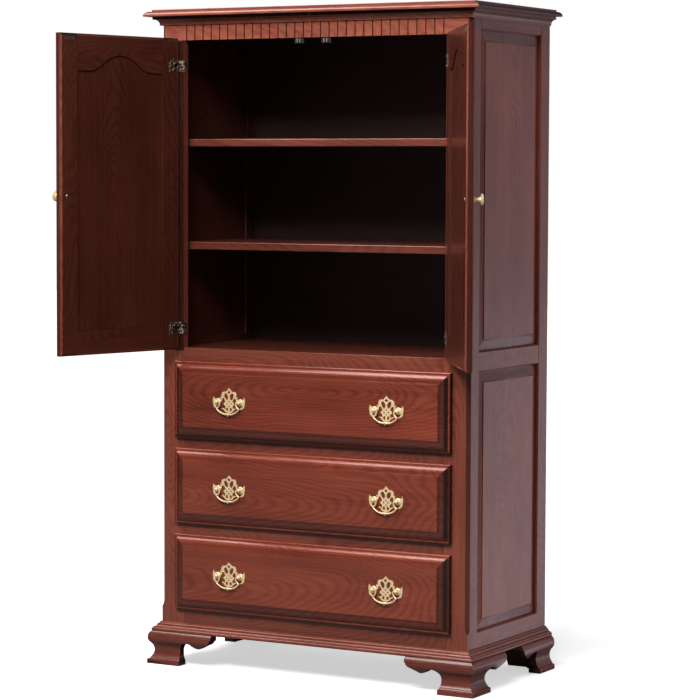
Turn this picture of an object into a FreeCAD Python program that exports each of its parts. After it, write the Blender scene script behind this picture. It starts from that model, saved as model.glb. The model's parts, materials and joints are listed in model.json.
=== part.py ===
import FreeCAD, Part
import math
import os

from FreeCAD import Vector

# A television armoire in the traditional style: a face-framed case on ogee bracket feet,
# three moulded drawers below and a television bay with two arched doors above.
# Millimetres. x runs to the right, y to the back, z up. It is drawn about the middle of the
# case, and exported about DATUM. The doors stand open at rest, the drawers are shut.

# ---- Case -----------------------------------------------------------------------
SIDE = 508.0                # half the width of the case
FRONT = -250.0
BACK = 250.0
CASE_BOTTOM = 97.0          # top of the feet
CASE_TOP = 1905.5
FRAME_THICKNESS = 22.0      # face frame
STILE_WIDTH = 77.0
SIDE_THICKNESS = 20.0       # framed sides
SIDE_FRONT_STILE = 38.0
SIDE_BACK_STILE = 60.0
FRAME_BACK = FRONT + FRAME_THICKNESS
OPENING = SIDE - STILE_WIDTH
SIDE_INNER = SIDE - SIDE_THICKNESS
BACK_PANEL_FACE = 240.0
BACK_PANEL_THICKNESS = 6.0
BACK_REBATE = 6.0
BACK_JOINT = 928.0

# Heights of the face frame rails and the side rails, bottom to top.
BOTTOM_RAIL = (CASE_BOTTOM, 173.5)
LOWER_DRAWER_RAIL = (383.0, 428.0)
UPPER_DRAWER_RAIL = (637.0, 681.0)
TV_RAIL = (893.0, 939.0)
DENTIL_RAIL_BOTTOM = 1836.0
SIDE_RAILS = ((CASE_BOTTOM, 172.0), (900.0, 958.7), (1848.0, CASE_TOP))

# Stopped chamfer on the front corners.
CHAMFER = 10.0
CHAMFER_NECK = 7.0
CHAMFER_TAIL_Z = 168.0
CHAMFER_NECK_Z = 174.5
CHAMFER_STEP_Z = 176.5
CHAMFER_FULL_Z = 181.0

# ---- Mouldings --------------------------------------------------------------------
BED_BOTTOM = 1880.0
DENTIL_PITCH = 28.1
DENTIL_KERFS = 31
KERF_WIDTH = 3.2
KERF_DEPTH = 5.0
TOP_OVERHANG = 40.0
TOP_THICKNESS = 20.0
BASE_TOP = 124.0
MITRE_REACH = 60.0

# ---- Feet ---------------------------------------------------------------------------
FOOT_WING = 186.0           # from the case corner to the end of the bracket
FOOT_INSET = 4.0            # the feet run this far in under the case
BACK_FOOT_CORNER = 229.5    # where the back bracket's own corner would lie
BRACE_THICKNESS = 22.0
GLUE_BLOCK = 30.0           # square corner posts inside the feet
GLUE_STRIP = 20.0           # depth of the strips that run along under the case
GLUE_STRIP_BOTTOM = 76.0
GLUE_GAP = 6.0              # between a post and the strip beside it
POST_LIFT = 3.0             # the posts stay clear of the floor
BRACE = ((400.0, 0.0), (386.0, 42.0), (360.0, 97.0))    # sloping edge of a back brace

# ---- Panels -------------------------------------------------------------------------
GROOVE_DEPTH = 8.0
TONGUE = 6.0
EXPANSION_GAP = 1.0
STICKING = 4.0
BEVEL = 33.0
PANEL_BEVEL_TOP = 12.0      # thickness of a side panel at the head of its bevel
PANEL_FIELD = 14.0          # and at its raised field

# ---- Inside ---------------------------------------------------------------------------
BOARD = 22.0
SHELF_TOPS = (1550.0, 1249.0)
SHELF_FRONT = -208.0
SHELF_END_GAP = 1.0
PIN_RADIUS = 2.5
PIN_DEPTH = 11.0
PIN_ROWS = (-203.0, 215.0)
CASE_FLOOR_Z = 125.0
CASE_FLOOR_THICKNESS = 18.0

# ---- Doors --------------------------------------------------------------------------
DOOR_WIDTH = 459.0
DOOR_GAP = 1.0              # half the gap between the two doors
DOOR_BOTTOM = 934.2
DOOR_TOP = 1841.0
DOOR_BACK = -252.0
DOOR_THICKNESS = 21.0
DOOR_FACE = DOOR_BACK - DOOR_THICKNESS
DOOR_STILE = 65.0
DOOR_BOTTOM_RAIL = 70.0
ARCH_SHOULDER_Z = 1737.0
ARCH_RISE = 46.0
ARCH_HALF_SPAN = 126.5
ARCH_CROWN_RADIUS = 105.0
DOOR_GROOVE = (-265.0, -259.0)
DOOR_PANEL_BACK = -256.0
DOOR_PANEL_FACE = -272.0
DOOR_OUTER_ROUND = 6.0
DOOR_INNER_BEVEL = (7.0, 3.5)    # width on the inner face and depth on the edge
LEFT_DOOR_OPEN = 103.1      # degrees open at rest
RIGHT_DOOR_OPEN = 124.0

# ---- Hinges, catches and knobs --------------------------------------------------------
HINGE_X = 454.5
HINGE_Y = -265.5
HINGE_HEIGHTS = (997.0, 1762.0)
HINGE_HALF_HEIGHT = 17.5
HINGE_PLATE = 1.5
STRAP_HALF_HEIGHT = 6.7
STRAP_THICKNESS = 2.0
EYE_RADIUS = 3.2
HINGE_BORE = 1.55
HINGE_PIN = 1.5
CHEEK = (7.0, 8.6)          # inner and outer face of a hinge cheek above the hinge centre
LEAF_ENDS = (-34.5, 3.5)    # door plate of a hinge, from the pin towards and past it
LEAF_WINDOW = -11.5         # where the plate forks round the strap
FRAME_LEAF = 17.0           # width of the plate screwed to the face stile
FRAME_LEAF_WRAP = 12.0      # how far it wraps round the stile's edge
STRAP_FOOT = -8.5           # where the strap leaves the frame plate, from the pin
CATCH_X = 44.0              # middle of a double catch
CATCH_HALF = 15.0
CATCH_FRONT = 4.0           # the case of a catch stands this far behind the frame's face
CATCH_BACK = -208.0
CATCH_HEIGHT = 16.0
CATCH_EASING = 3.0
CATCH_POLES = (-5.5, 3.5)   # near faces of the two steel poles
POLE_THICKNESS = 2.0
POLE_REACH = 0.4            # the poles stand proud of the frame by this
STRIKE_X = (20.0, 56.0)     # steel plate on the door that meets the poles
STRIKE_Z = (1820.0, 1832.0)
STRIKE_THICKNESS = 1.2
KNOB_X = 27.0
KNOB_Z = 1385.0
SCREW_RADIUS = 2.0

# ---- Drawers --------------------------------------------------------------------------
DRAWERS = {
    "top": (674.5, 900.0, UPPER_DRAWER_RAIL[1]),
    "middle": (421.0, 644.0, LOWER_DRAWER_RAIL[1]),
    "bottom": (166.5, 390.0, BOTTOM_RAIL[1]),
}
DRAWER_HALF = 456.0
DRAWER_BACK = -250.5        # rear face of the moulded front
DRAWER_FACE = -274.0
BOX_HALF = 428.0
BOX_HEIGHT = 190.0
BOX_END = 195.0
BOX_BOARD = 12.0
INNER_FRONT = 15.0
BOX_PANEL = 6.0             # thickness of the bottom panel, let in as far as BOX_GROOVE
BOX_PANEL_LIFT = 9.0
BOX_GROOVE = 6.0
TAILS = 4                   # dovetails on each front corner of a box
TAIL_LENGTH = 11.0
TAIL_ROOT = 12.0            # half height of a tail at its root and at its tip
TAIL_TIP = 16.0
BOX_LIFT = 1.0              # of the box above the rail's top edge
RUNNER_CLEARANCE = 0.3
RUNNER_THICKNESS = 18.0

# ---- Pulls ----------------------------------------------------------------------------
PULL_X = 260.0
POST_X = 38.1               # half of a 3 in boring
PLATE_THICKNESS = 2.0
BAIL_Y = -282.5             # pivot line of the bails
BAIL_NECK_X = 29.6          # top of the bail's neck, inside the ball of its post
BAIL_RADIUS = 2.2
BAIL_SWELL = 1.0            # extra radius at the middle of the bow
BAIL_STEPS = (5, 3, 11)     # sections along the neck, the elbow and half of the bow
BAIL_DROP = (34.2, 41.4)    # depth of the bow's middle and of the drop under it
BAIL_DROP_RADIUS = 2.7
BAIL_PIN = 1.55
POST_BORE = 1.6
POST_BALL = 5.6
POST_ROSETTE = 10.3
BOLT_RADIUS = 2.0

# Point of the floor that becomes the origin: the middle of the whole, open doors included.
DATUM = Vector(70.64, -229.9, 0)

X = Vector(1, 0, 0)
Y = Vector(0, 1, 0)
Z = Vector(0, 0, 1)
FORWARD = Vector(0, -1, 0)
ORIGIN = Vector(0, 0, 0)


# ==== Shapes used all over ===============================================================

def box(x0, x1, y0, y1, z0, z1):
    """Rectangular board between the given faces."""
    return Part.makeBox(x1 - x0, y1 - y0, z1 - z0, Vector(x0, y0, z0))


def outline(points, origin, u, v):
    """Closed wire through points (a, b) measured along u and v.

    A point with four numbers is an arc: through the first pair to the second.
    """
    edges = []
    last = origin + u * points[0][0] + v * points[0][1]
    for point in points[1:] + points[:1]:
        end = origin + u * point[-2] + v * point[-1]
        if len(point) == 4:
            middle = origin + u * point[0] + v * point[1]
            edges.append(Part.Arc(last, middle, end).toShape())
        elif (end - last).Length > 1e-6:
            edges.append(Part.LineSegment(last, end).toShape())
        last = end
    return Part.Wire(edges)


def prism(points, origin, u, v, sweep):
    """Solid made by moving an outline along the vector sweep."""
    return Part.Face(outline(points, origin, u, v)).extrude(sweep)


def cylinder(radius, start, sweep):
    """Round bar from start along sweep."""
    return Part.makeCylinder(radius, sweep.Length, start, sweep)


def mirrored(shape):
    """The same shape on the other side of the middle plane x = 0."""
    return shape.mirror(ORIGIN, X)


def both_sides(shapes):
    """The shapes of the right side together with their mirror images."""
    return shapes + [mirrored(shape) for shape in shapes]


def group(shapes):
    """Separate solids kept in one node."""
    return Part.makeCompound([solid for shape in shapes for solid in shape.Solids])


def moulded_board(profile, x0, x1, z0, z1, y_back):
    """Board with the same moulding on all four edges, mitred at the corners.

    The profile is a list of (distance from the edge, thickness). It is run up the board and
    across it, and what the two runs have in common is the board.
    """
    across = mirrored_profile(profile, x0, x1)
    upward = mirrored_profile(profile, z0, z1)
    upright = prism(across, Vector(0, y_back, z0), X, FORWARD, Z * (z1 - z0))
    level = prism(upward, Vector(x0, y_back, 0), Z, FORWARD, X * (x1 - x0))
    return upright.common(level)


def mirrored_profile(profile, low, high):
    """Closed outline of a board from low to high whose two edges carry the profile."""
    rising = []
    for point in profile:
        rising.append(tuple(low + value if i % 2 == 0 else value
                            for i, value in enumerate(point)))
    falling = []
    ends = [point[-2:] for point in profile]
    for i in range(len(profile) - 1, -1, -1):
        start = ends[i]
        if i == len(profile) - 1 or len(profile[i + 1]) == 2:
            falling.append((high - start[0], start[1]))
        else:
            middle = profile[i + 1][:2]
            falling.append((high - middle[0], middle[1], high - start[0], start[1]))
    return rising + falling


def plan_wedge(points, z0, z1):
    """Upright prism over a plan outline, used to cut mitres."""
    return prism(points, Vector(0, 0, z0), X, Y, Z * (z1 - z0))


def front_wedge(inset, z0, z1):
    """Space in front of the case, bounded by the two corner mitres."""
    inner = SIDE - inset
    outer = SIDE + MITRE_REACH
    points = [(-inner, FRONT + inset), (inner, FRONT + inset),
              (outer, FRONT - MITRE_REACH), (-outer, FRONT - MITRE_REACH)]
    return plan_wedge(points, z0, z1)


def side_wedge(inset, z0, z1):
    """Space to the right of the case, from the front mitre to the back."""
    inner = SIDE - inset
    outer = SIDE + MITRE_REACH
    points = [(inner, FRONT + inset), (outer, FRONT - MITRE_REACH), (outer, BACK), (inner, BACK)]
    return plan_wedge(points, z0, z1)


def moulding_run(profile, z0, z1):
    """Front length and two side lengths of a moulding, mitred at the corners.

    The profile is (projection, height); the side lengths stop at the back of the case.
    """
    outer = SIDE + MITRE_REACH
    front = prism(profile, Vector(-outer, FRONT, 0), FORWARD, Z, X * (2 * outer))
    side = prism(profile, Vector(SIDE, FRONT - MITRE_REACH, 0), X, Z, Y * (BACK - FRONT + MITRE_REACH))
    front = front.common(front_wedge(0, z0, z1))
    side = side.common(side_wedge(0, z0, z1))
    return group([front] + both_sides([side]))


# ==== Face frame =========================================================================

def chamfer_cutter():
    """Cutter for the stopped chamfer on the right front corner.

    Its outline lies in the upright plane through the corner's diagonal: full depth above,
    a short shoulder, then a lamb's-tongue curve that runs out to nothing at the foot.
    """
    root = math.sqrt(2)
    neck = CHAMFER_NECK / root
    full = CHAMFER / root
    points = [
        (-8, CHAMFER_TAIL_Z),
        (0, CHAMFER_TAIL_Z),
        (0.28 * neck, (CHAMFER_TAIL_Z + CHAMFER_NECK_Z) / 2, neck, CHAMFER_NECK_Z),
        (neck, CHAMFER_STEP_Z),
        (neck + 0.3, CHAMFER_FULL_Z - 1.2, full, CHAMFER_FULL_Z),
        (full, BED_BOTTOM),
        (-8, BED_BOTTOM),
    ]
    inward = Vector(-1, 1, 0) / root
    along = Vector(1, 1, 0) / root
    corner = Vector(SIDE, FRONT, 0)
    return prism(points, corner - along * 30, inward, Z, along * 60)


def face_stile():
    """Right stile of the face frame, up to the underside of the dentil rail."""
    board = box(OPENING, SIDE, FRONT, FRAME_BACK, CASE_BOTTOM, DENTIL_RAIL_BOTTOM)
    return board.cut(chamfer_cutter())


def dentil_rail():
    """Wide rail above the doors, kerfed into a row of dentils below the crown."""
    board = box(-SIDE, SIDE, FRONT, FRAME_BACK, DENTIL_RAIL_BOTTOM, CASE_TOP)
    kerfs = []
    for i in range(DENTIL_KERFS):
        x = (i - (DENTIL_KERFS - 1) / 2) * DENTIL_PITCH
        kerfs.append(box(x - KERF_WIDTH / 2, x + KERF_WIDTH / 2, FRONT - 1, FRONT + KERF_DEPTH,
                         DENTIL_RAIL_BOTTOM - 1, BED_BOTTOM))
    return board.cut(kerfs).cut(both_sides([chamfer_cutter()]))


def face_rail(heights):
    """Plain rail between the stiles."""
    return box(-OPENING, OPENING, FRONT, FRAME_BACK, heights[0], heights[1])


# ==== Framed sides =======================================================================

def side_openings():
    """Bottom and top of the two panel openings in each side."""
    bottom, middle, top = SIDE_RAILS
    return [(bottom[1], middle[0]), (middle[1], top[0])]


def side_opening_wire(z0, z1, grow, x):
    """Edge of a side panel opening at depth x, grown outwards on all four sides."""
    low_y = FRAME_BACK + SIDE_FRONT_STILE - grow
    high_y = BACK - SIDE_BACK_STILE + grow
    corners = [(low_y, z0 - grow), (high_y, z0 - grow), (high_y, z1 + grow), (low_y, z1 + grow)]
    return outline(corners, Vector(x, 0, 0), Y, Z)


def sticking_cutter(z0, z1):
    """Bevel that runs round a panel opening on the outer face of the side."""
    grow = STICKING + 1
    inner = side_opening_wire(z0, z1, 0, SIDE - STICKING)
    outer = side_opening_wire(z0, z1, grow, SIDE - STICKING + grow)
    return Part.makeLoft([inner, outer], True, True)


def shelf_pin(y, shelf_top):
    """Pin half sunk in the side and half under a shelf."""
    centre = shelf_top - BOARD - PIN_RADIUS
    return cylinder(PIN_RADIUS, Vector(SIDE_INNER - PIN_DEPTH, y, centre), X * (2 * PIN_DEPTH))


def side_frame():
    """Two stiles and three rails of the right side, grooved for the panels."""
    front_edge = FRAME_BACK + SIDE_FRONT_STILE
    back_edge = BACK - SIDE_BACK_STILE
    members = [box(SIDE_INNER, SIDE, FRAME_BACK, front_edge, CASE_BOTTOM, CASE_TOP),
               box(SIDE_INNER, SIDE, back_edge, BACK, CASE_BOTTOM, CASE_TOP)]
    for low, high in SIDE_RAILS:
        members.append(box(SIDE_INNER, SIDE, front_edge, back_edge, low, high))
    groove_x = SIDE_INNER + 4
    cutters = [shelf_pin(y, top) for top in SHELF_TOPS for y in PIN_ROWS]
    cutters.append(box(SIDE_INNER - 1, SIDE_INNER + BACK_REBATE, BACK_PANEL_FACE, BACK + 1,
                       CASE_BOTTOM - 1, CASE_TOP + 1))
    for z0, z1 in side_openings():
        cutters.append(box(groove_x, groove_x + TONGUE, front_edge - GROOVE_DEPTH,
                           back_edge + GROOVE_DEPTH, z0 - GROOVE_DEPTH, z1 + GROOVE_DEPTH))
        cutters.append(sticking_cutter(z0, z1))
    return group([member.cut(cutters) for member in members])


def side_panels():
    """Two raised panels of the right side: tongue, bevel, then a raised flat field."""
    back = SIDE_INNER + 4
    field = 2 - BEVEL
    panels = []
    for z0, z1 in side_openings():
        tongue = Part.Face(side_opening_wire(z0, z1, GROOVE_DEPTH - EXPANSION_GAP, back))
        bevel = Part.makeLoft([side_opening_wire(z0, z1, -0.3, back + TONGUE),
                               side_opening_wire(z0, z1, field, back + PANEL_BEVEL_TOP)], True, True)
        raised = Part.Face(side_opening_wire(z0, z1, field, back))
        panels.append(tongue.extrude(X * TONGUE).fuse([bevel, raised.extrude(X * PANEL_FIELD)]))
    return group(panels)


# ==== Top, crown and base mouldings ========================================================

def top_board():
    """Top with a nosing, an ovolo and a fillet on the front and both ends."""
    z = CASE_TOP
    edge = [(TOP_OVERHANG, z), (TOP_OVERHANG, z + 5.5), (34.4, z + 11.5, 21, z + 14),
            (21, z + 18.5), (20.5, z + 19.6, 19.5, z + TOP_THICKNESS)]
    depth = BACK - FRONT
    front = prism(edge + [(-depth, z + TOP_THICKNESS), (-depth, z)],
                  Vector(-SIDE - TOP_OVERHANG, FRONT, 0), FORWARD, Z, X * (2 * (SIDE + TOP_OVERHANG)))
    half = prism(edge + [(-SIDE, z + TOP_THICKNESS), (-SIDE, z)],
                 Vector(SIDE, FRONT - TOP_OVERHANG, 0), X, Z, Y * (depth + TOP_OVERHANG))
    ends = half.fuse(mirrored(half))
    return front.common(ends).removeSplitter()


def crown_moulding():
    """Bed moulding under the top: a narrow foot, a cove and a fillet."""
    z = BED_BOTTOM
    profile = [(0, z), (4, z), (4.6, z + 2), (8, z + 12.5, 15.5, z + 17), (20, z + 17),
               (20, CASE_TOP), (0, CASE_TOP)]
    return moulding_run(profile, z, CASE_TOP)


def base_moulding():
    """Moulding round the foot of the case: a rounded nose, then two fillets with coves."""
    z = CASE_BOTTOM
    profile = [(0, z), (21.5, z), (23.8, z + 4.8, 21.5, z + 9.4), (19.6, z + 9.8),
               (19.6, z + 12), (14.4, z + 13.6, 11.4, z + 17.8), (11.4, z + 20),
               (7.4, z + 21.8, 5.4, z + 26), (4, z + 27), (0, z + 27)]
    return moulding_run(profile, z, BASE_TOP)


# ==== Feet =================================================================================

def foot_profile():
    """Ogee section of a foot as (projection, height): bulge, hollow, flared toe and pad."""
    return [(23, CASE_BOTTOM), (32, 79, 23.5, 59.5), (16.6, 40, 24.4, 20), (26.8, 16, 31.4, 13.6),
            (32.6, 13), (33, 11.5), (33, 0), (-FOOT_INSET, 0), (-FOOT_INSET, CASE_BOTTOM)]


def foot_bracket(reach):
    """Pierced outline of a bracket as (distance from its corner, height).

    From the wing's end a cyma falls to a pointed lobe, then a round cove runs down the leg.
    """
    return [(-reach, CASE_BOTTOM), (FOOT_WING, CASE_BOTTOM), (FOOT_WING, 84),
            (182.5, 81), (176, 71, 166, 66), (141, 53), (129, 54.5, 117, 61), (113.5, 65.5, 108, 66.5),
            (81, 60, 74, 39), (74.3, 25, 79, 12.5), (79, 0), (-reach, 0)]


def front_foot():
    """Right front foot: two ogee brackets mitred at the corner."""
    profile = foot_profile()
    reach = MITRE_REACH
    front = prism(profile, Vector(SIDE - FOOT_WING, FRONT, 0), FORWARD, Z, X * (FOOT_WING + reach))
    side = prism(profile, Vector(SIDE, FRONT - reach, 0), X, Z, Y * (FOOT_WING + reach))
    front_shape = prism(foot_bracket(reach), Vector(SIDE, FRONT - reach, 0), -X, Z, Y * (2 * reach))
    side_shape = prism(foot_bracket(reach), Vector(SIDE - reach, FRONT, 0), Y, Z, X * (2 * reach))
    front = front.common(front_wedge(FOOT_INSET, 0, CASE_BOTTOM)).common(front_shape)
    side = side.common(side_wedge(FOOT_INSET, 0, CASE_BOTTOM)).common(side_shape)
    return group([front, side])


def back_foot():
    """Right back foot: an ogee bracket on the side and a plain brace across the back."""
    reach = BACK - BACK_FOOT_CORNER
    bracket = prism(foot_profile(), Vector(SIDE, BACK_FOOT_CORNER - FOOT_WING, 0), X, Z,
                    Y * (FOOT_WING + reach))
    shape = prism(foot_bracket(reach), Vector(SIDE - MITRE_REACH, BACK_FOOT_CORNER, 0), FORWARD, Z,
                  X * (2 * MITRE_REACH))
    inner = SIDE - FOOT_INSET
    brace = prism([(inner, 0), *BRACE, (inner, CASE_BOTTOM)],
                  Vector(0, BACK - BRACE_THICKNESS, 0), X, Z, Y * BRACE_THICKNESS)
    return group([bracket.common(shape), brace])


def glue_blocks():
    """Corner posts and short horizontal blocks that hold the feet to the case."""
    inner = SIDE - FOOT_INSET
    front = FRONT + FOOT_INSET
    back = BACK - BRACE_THICKNESS
    past_post = GLUE_BLOCK + GLUE_GAP
    strip_x = inner - GLUE_STRIP
    strip_length = FOOT_WING - 12
    low = GLUE_STRIP_BOTTOM
    blocks = [
        box(inner - GLUE_BLOCK, inner, front, front + GLUE_BLOCK, POST_LIFT, CASE_BOTTOM),
        box(inner - GLUE_BLOCK, inner, back - GLUE_BLOCK, back, POST_LIFT, CASE_BOTTOM),
        box(SIDE - strip_length, inner - past_post, front, front + GLUE_STRIP, low, CASE_BOTTOM),
        box(strip_x, inner, front + past_post, FRONT + strip_length, low, CASE_BOTTOM),
        box(strip_x, inner, BACK_FOOT_CORNER - strip_length, back - past_post, low, CASE_BOTTOM),
    ]
    return group(both_sides(blocks))


# ==== Inside the case ========================================================================

def case_bottom():
    """Board under the lowest drawer."""
    return box(-SIDE_INNER, SIDE_INNER, FRAME_BACK, BACK_PANEL_FACE, CASE_FLOOR_Z,
               CASE_FLOOR_Z + CASE_FLOOR_THICKNESS)


def tv_floor():
    """Board that carries the television, level with the top of its rail."""
    return box(-SIDE_INNER, SIDE_INNER, FRAME_BACK, BACK_PANEL_FACE, TV_RAIL[1] - BOARD, TV_RAIL[1])


def back_panel(z0, z1):
    """Thin back let into the rebates of the sides."""
    half = SIDE_INNER + BACK_REBATE
    return box(-half, half, BACK_PANEL_FACE, BACK_PANEL_FACE + BACK_PANEL_THICKNESS, z0, z1)


def shelf(top):
    """Loose shelf with an eased front edge."""
    half = SIDE_INNER - SHELF_END_GAP
    bottom = top - BOARD
    back = BACK_PANEL_FACE - 2
    nose = [(SHELF_FRONT + 2, bottom), (back, bottom), (back, top), (SHELF_FRONT + 3, top),
            (SHELF_FRONT + 0.9, top - 0.9, SHELF_FRONT, top - 3), (SHELF_FRONT, bottom + 2),
            (SHELF_FRONT + 0.6, bottom + 0.6, SHELF_FRONT + 2, bottom)]
    return prism(nose, Vector(-half, 0, 0), Y, Z, X * (2 * half))


def shelf_pins():
    """Eight pins, four under each shelf."""
    return group(both_sides([shelf_pin(y, top) for top in SHELF_TOPS for y in PIN_ROWS]))


def drawer_runners():
    """Runner with a guide strip on each side of each drawer."""
    runners = []
    for _, _, rail_top in DRAWERS.values():
        seat = rail_top + BOX_LIFT - RUNNER_CLEARANCE
        base = seat - RUNNER_THICKNESS
        guide = OPENING
        section = [(BOX_HALF - 16, base), (SIDE_INNER, base), (SIDE_INNER, seat + 20),
                   (guide, seat + 20), (guide, seat), (BOX_HALF - 16, seat)]
        runners.append(prism(section, Vector(0, FRAME_BACK, 0), X, Z,
                             Y * (BACK_PANEL_FACE - FRAME_BACK)))
    return group(both_sides(runners))


def magnetic_catches():
    """Two double catches under the dentil rail, each with two steel poles."""
    top = DENTIL_RAIL_BOTTOM
    front = FRONT + CATCH_FRONT
    low = top - CATCH_HEIGHT
    section = [(front, low), (CATCH_BACK - CATCH_EASING, low), (CATCH_BACK, low + CATCH_EASING),
               (CATCH_BACK, top), (front, top)]
    parts = [prism(section, Vector(CATCH_X - CATCH_HALF, 0, 0), Y, Z, X * (2 * CATCH_HALF))]
    for offset in CATCH_POLES:
        x = CATCH_X + offset
        parts.append(box(x, x + POLE_THICKNESS, FRONT - POLE_REACH, front, low + 2, top - 3))
    return group(both_sides(parts))


# ==== Hinges ===================================================================================

def hinge_arm(z):
    """Frame half of a right-hand hinge: wrapped plate, strap and eye."""
    face = FRONT - HINGE_PLATE
    low = z - HINGE_HALF_HEIGHT
    high = z + HINGE_HALF_HEIGHT
    edge = OPENING - HINGE_PLATE
    plate = box(edge, OPENING + FRAME_LEAF, face, FRONT, low, high)
    plate = plate.fuse(box(edge, OPENING, FRONT, FRONT + FRAME_LEAF_WRAP, low, high))
    foot = Vector(HINGE_X + STRAP_FOOT, face + HINGE_PLATE / 2, z - STRAP_HALF_HEIGHT)
    eye_centre = Vector(HINGE_X, HINGE_Y, z - STRAP_HALF_HEIGHT)
    along = eye_centre - foot
    across = Vector(-along.y, along.x, 0).normalize() * (STRAP_THICKNESS / 2)
    corners = [foot - across, foot + across, eye_centre + across, eye_centre - across]
    strap = Part.Face(Part.makePolygon(corners + corners[:1])).extrude(Z * (2 * STRAP_HALF_HEIGHT))
    eye = cylinder(EYE_RADIUS, eye_centre, Z * (2 * STRAP_HALF_HEIGHT))
    bore = cylinder(HINGE_BORE, eye_centre - Z, Z * (2 * STRAP_HALF_HEIGHT + 2))
    return plate.fuse([strap, eye]).cut(bore).removeSplitter()


def hinge_cup(z):
    """Door half of a right-hand hinge: flush forked plate, two cheeks and the pin."""
    inner = HINGE_X + LEAF_ENDS[0]
    outer = HINGE_X + LEAF_ENDS[1]
    window = HINGE_X + LEAF_WINDOW
    half = HINGE_HALF_HEIGHT
    plate = box(inner, outer, DOOR_BACK - HINGE_PLATE, DOOR_BACK, z - half, z + half)
    plate = plate.cut(box(window, outer + 1, DOOR_BACK - 3, DOOR_BACK + 1, z - CHEEK[0], z + CHEEK[0]))
    cheek = [(window, DOOR_BACK - 1), (outer, DOOR_BACK - 1), (outer, HINGE_Y),
             (HINGE_X, HINGE_Y - 3, HINGE_X - 3, HINGE_Y)]
    parts = []
    for low in (z + CHEEK[0], z - CHEEK[1]):
        parts.append(prism(cheek, Vector(0, 0, low), X, Y, Z * (CHEEK[1] - CHEEK[0])))
    parts.append(cylinder(HINGE_PIN, Vector(HINGE_X, HINGE_Y, z - CHEEK[1]), Z * (2 * CHEEK[1])))
    return plate.fuse(parts).removeSplitter()


def hinge_mortise(z):
    """Pocket in the door for a hinge, open at the edge, with the plate's shallow recess."""
    recess = box(HINGE_X + LEAF_ENDS[0], HINGE_X + LEAF_ENDS[1], DOOR_BACK - HINGE_PLATE,
                 DOOR_BACK + 1, z - HINGE_HALF_HEIGHT, z + HINGE_HALF_HEIGHT)
    room = CHEEK[1] + 0.4
    pocket = box(HINGE_X + LEAF_WINDOW - 1, HINGE_X + 8, HINGE_Y - 3.8, DOOR_BACK + 1,
                 z - room, z + room)
    return recess.fuse(pocket)


# ==== Doors, built shut on the right side ==========================================================

def arch_outline(offset):
    """Panel opening of a door, drawn in by offset: square below, ogee arch above.

    The shoulders are hollow arcs that meet the round crown without a break.
    """
    middle = DOOR_GAP + DOOR_WIDTH / 2
    half = DOOR_WIDTH / 2 - DOOR_STILE - offset
    base = DOOR_BOTTOM + DOOR_BOTTOM_RAIL + offset
    shoulder = ARCH_SHOULDER_Z - offset
    span = ARCH_HALF_SPAN
    total = (span ** 2 + ARCH_RISE ** 2) / (2 * ARCH_RISE)
    hollow_centre = ARCH_SHOULDER_Z + total - ARCH_CROWN_RADIUS
    hollow = total - ARCH_CROWN_RADIUS + offset
    crown_centre = ARCH_SHOULDER_Z + ARCH_RISE - ARCH_CROWN_RADIUS
    crown = ARCH_CROWN_RADIUS - offset
    meet = math.atan2(hollow_centre - crown_centre, span)
    meet_x = crown * math.cos(meet)
    meet_z = crown_centre + crown * math.sin(meet)
    half_turn = (math.pi / 2 - meet) / 2 + meet
    bend_x = span - hollow * math.cos(half_turn)
    bend_z = hollow_centre - hollow * math.sin(half_turn)
    return [
        (middle - half, base), (middle + half, base), (middle + half, shoulder),
        (middle + span, shoulder),
        (middle + bend_x, bend_z, middle + meet_x, meet_z),
        (middle, crown_centre + crown, middle - meet_x, meet_z),
        (middle - bend_x, bend_z, middle - span, shoulder),
        (middle - half, shoulder),
    ]


def arch_prism(offset, y0, y1):
    """Solid over the panel opening between two depths."""
    return prism(arch_outline(offset), Vector(0, y0, 0), X, Z, Y * (y1 - y0))


def arch_loft(offset0, y0, offset1, y1):
    """Bevelled solid between two offsets of the panel opening."""
    wires = [outline(arch_outline(offset0), Vector(0, y0, 0), X, Z),
             outline(arch_outline(offset1), Vector(0, y1, 0), X, Z)]
    return Part.makeLoft(wires, True, True)


def door_blank():
    """Whole thickness of a door, rounded over outside and bevelled inside."""
    r = DOOR_OUTER_ROUND
    width, depth = DOOR_INNER_BEVEL
    t = DOOR_THICKNESS
    bend = 1 - math.sqrt(0.5)
    edge = [(width, 0), (0, depth), (0, t - r), (r * bend, t - r * bend, r, t)]
    return moulded_board(edge, DOOR_GAP, DOOR_GAP + DOOR_WIDTH, DOOR_BOTTOM, DOOR_TOP, DOOR_BACK)


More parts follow.
